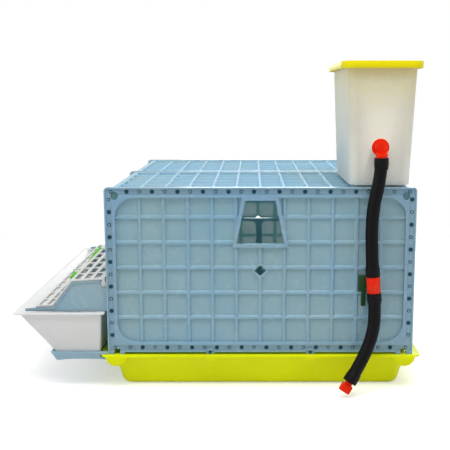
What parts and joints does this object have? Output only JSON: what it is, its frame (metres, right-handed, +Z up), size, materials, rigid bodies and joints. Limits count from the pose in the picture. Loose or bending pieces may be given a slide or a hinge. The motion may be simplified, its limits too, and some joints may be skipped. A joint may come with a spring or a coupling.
{
  "type": "quail cage",
  "caption": "Ribbed plastic cage of joined cells on a dropping tray, with a feed trough under hinged lattice covers and a lidded water tank on the roof feeding nipple drinkers by a hose.",
  "frame": {"origin": "centre of the dropping tray's underside", "axes": "+Z up, +X towards the rear of the cage, away from the feed trough, +Y towards the side without the hoses"},
  "size_m": [0.72, 0.6684, 0.5738],
  "materials": {
    "blue_plastic": "satin moulded polypropylene, lightly scuffed",
    "yellow_plastic": "smooth moulded plastic",
    "white_plastic": "smooth moulded plastic",
    "milky_plastic": "translucent polyethylene",
    "lime_plastic": "smooth moulded plastic",
    "dark_green_plastic": "moulded plastic",
    "red_plastic": "smooth moulded plastic",
    "black_rubber": "satin rubber",
    "steel": "turned stainless pin"
  },
  "bodies": {
    "tray": {"manure_tray": "yellow_plastic", "trough_shelf": "blue_plastic"},
    "cage": {"near_side_panel": "blue_plastic", "far_side_panel": "blue_plastic", "divider_panel": "blue_plastic", "near_roof_panel": "blue_plastic", "far_roof_panel": "blue_plastic", "near_rear_panel": "blue_plastic", "far_rear_panel": "blue_plastic", "near_front_panel": "blue_plastic", "far_front_panel": "blue_plastic", "near_floor_grid": "blue_plastic", "far_floor_grid": "blue_plastic", "near_feeder_cheek": "blue_plastic", "middle_feeder_cheek": "blue_plastic", "far_feeder_cheek": "blue_plastic", "water_tank": "milky_plastic", "tank_elbow": "red_plastic", "elbow_seal": "black_rubber", "elbow_nut": "red_plastic", "hose_coupling": "red_plastic", "coupling_clip": "dark_green_plastic", "water_pipe": "white_plastic", "nipple_drinkers": "red_plastic", "upper_hose": "black_rubber", "lower_hose": "black_rubber", "hose_cuffs": "black_rubber", "hose_plug": "red_plastic"},
    "trough": {"feed_trough": "white_plastic"},
    "lid": {"tank_lid": "yellow_plastic"},
    "near_grille": {"near_feed_grille": "white_plastic"},
    "far_grille": {"far_feed_grille": "white_plastic"},
    "near_outer_latch": {"near_outer_latch": "lime_plastic"},
    "near_inner_latch": {"near_inner_latch": "lime_plastic"},
    "far_inner_latch": {"far_inner_latch": "lime_plastic"},
    "far_outer_latch": {"far_outer_latch": "lime_plastic"},
    "near_pin": {"near_drinker_pin": "steel"},
    "far_pin": {"far_drinker_pin": "steel"}
  },
  "joints": [
    {"name": "cage_lift", "type": "slide", "parent": "tray", "child": "cage", "axis": [0, 0, 1], "range_m": [0, 0.1]},
    {"name": "trough_pull", "type": "slide", "parent": "tray", "child": "trough", "axis": [-1, 0, 0], "range_m": [0, 0.12]},
    {"name": "lid_lift", "type": "slide", "parent": "cage", "child": "lid", "axis": [0, 0, 1], "range_m": [0, 0.08]},
    {"name": "near_grille_hinge", "type": "hinge", "parent": "cage", "child": "near_grille", "pos_m": [-0.2765, -0.148, 0.187], "axis": [0, 1, 0], "range_deg": [0, 90]},
    {"name": "far_grille_hinge", "type": "hinge", "parent": "cage", "child": "far_grille", "pos_m": [-0.2765, 0.148, 0.187], "axis": [0, 1, 0], "range_deg": [0, 90]},
    {"name": "near_outer_latch_turn", "type": "hinge", "parent": "near_grille", "child": "near_outer_latch", "pos_m": [-0.34064, -0.23, 0.18687], "axis": [-0.7979, 0, 0.6028], "range_deg": [0, 90]},
    {"name": "near_inner_latch_turn", "type": "hinge", "parent": "near_grille", "child": "near_inner_latch", "pos_m": [-0.34064, -0.016, 0.18687], "axis": [-0.7979, 0, 0.6028], "range_deg": [0, 90]},
    {"name": "far_inner_latch_turn", "type": "hinge", "parent": "far_grille", "child": "far_inner_latch", "pos_m": [-0.34064, 0.016, 0.18687], "axis": [-0.7979, 0, 0.6028], "range_deg": [-90, 0]},
    {"name": "far_outer_latch_turn", "type": "hinge", "parent": "far_grille", "child": "far_outer_latch", "pos_m": [-0.34064, 0.23, 0.18687], "axis": [-0.7979, 0, 0.6028], "range_deg": [-90, 0]},
    {"name": "near_pin_push", "type": "slide", "parent": "cage", "child": "near_pin", "axis": [0, 0, 1], "range_m": [0, 0.002]},
    {"name": "far_pin_push", "type": "slide", "parent": "cage", "child": "far_pin", "axis": [0, 0, 1], "range_m": [0, 0.002]}
  ]
}
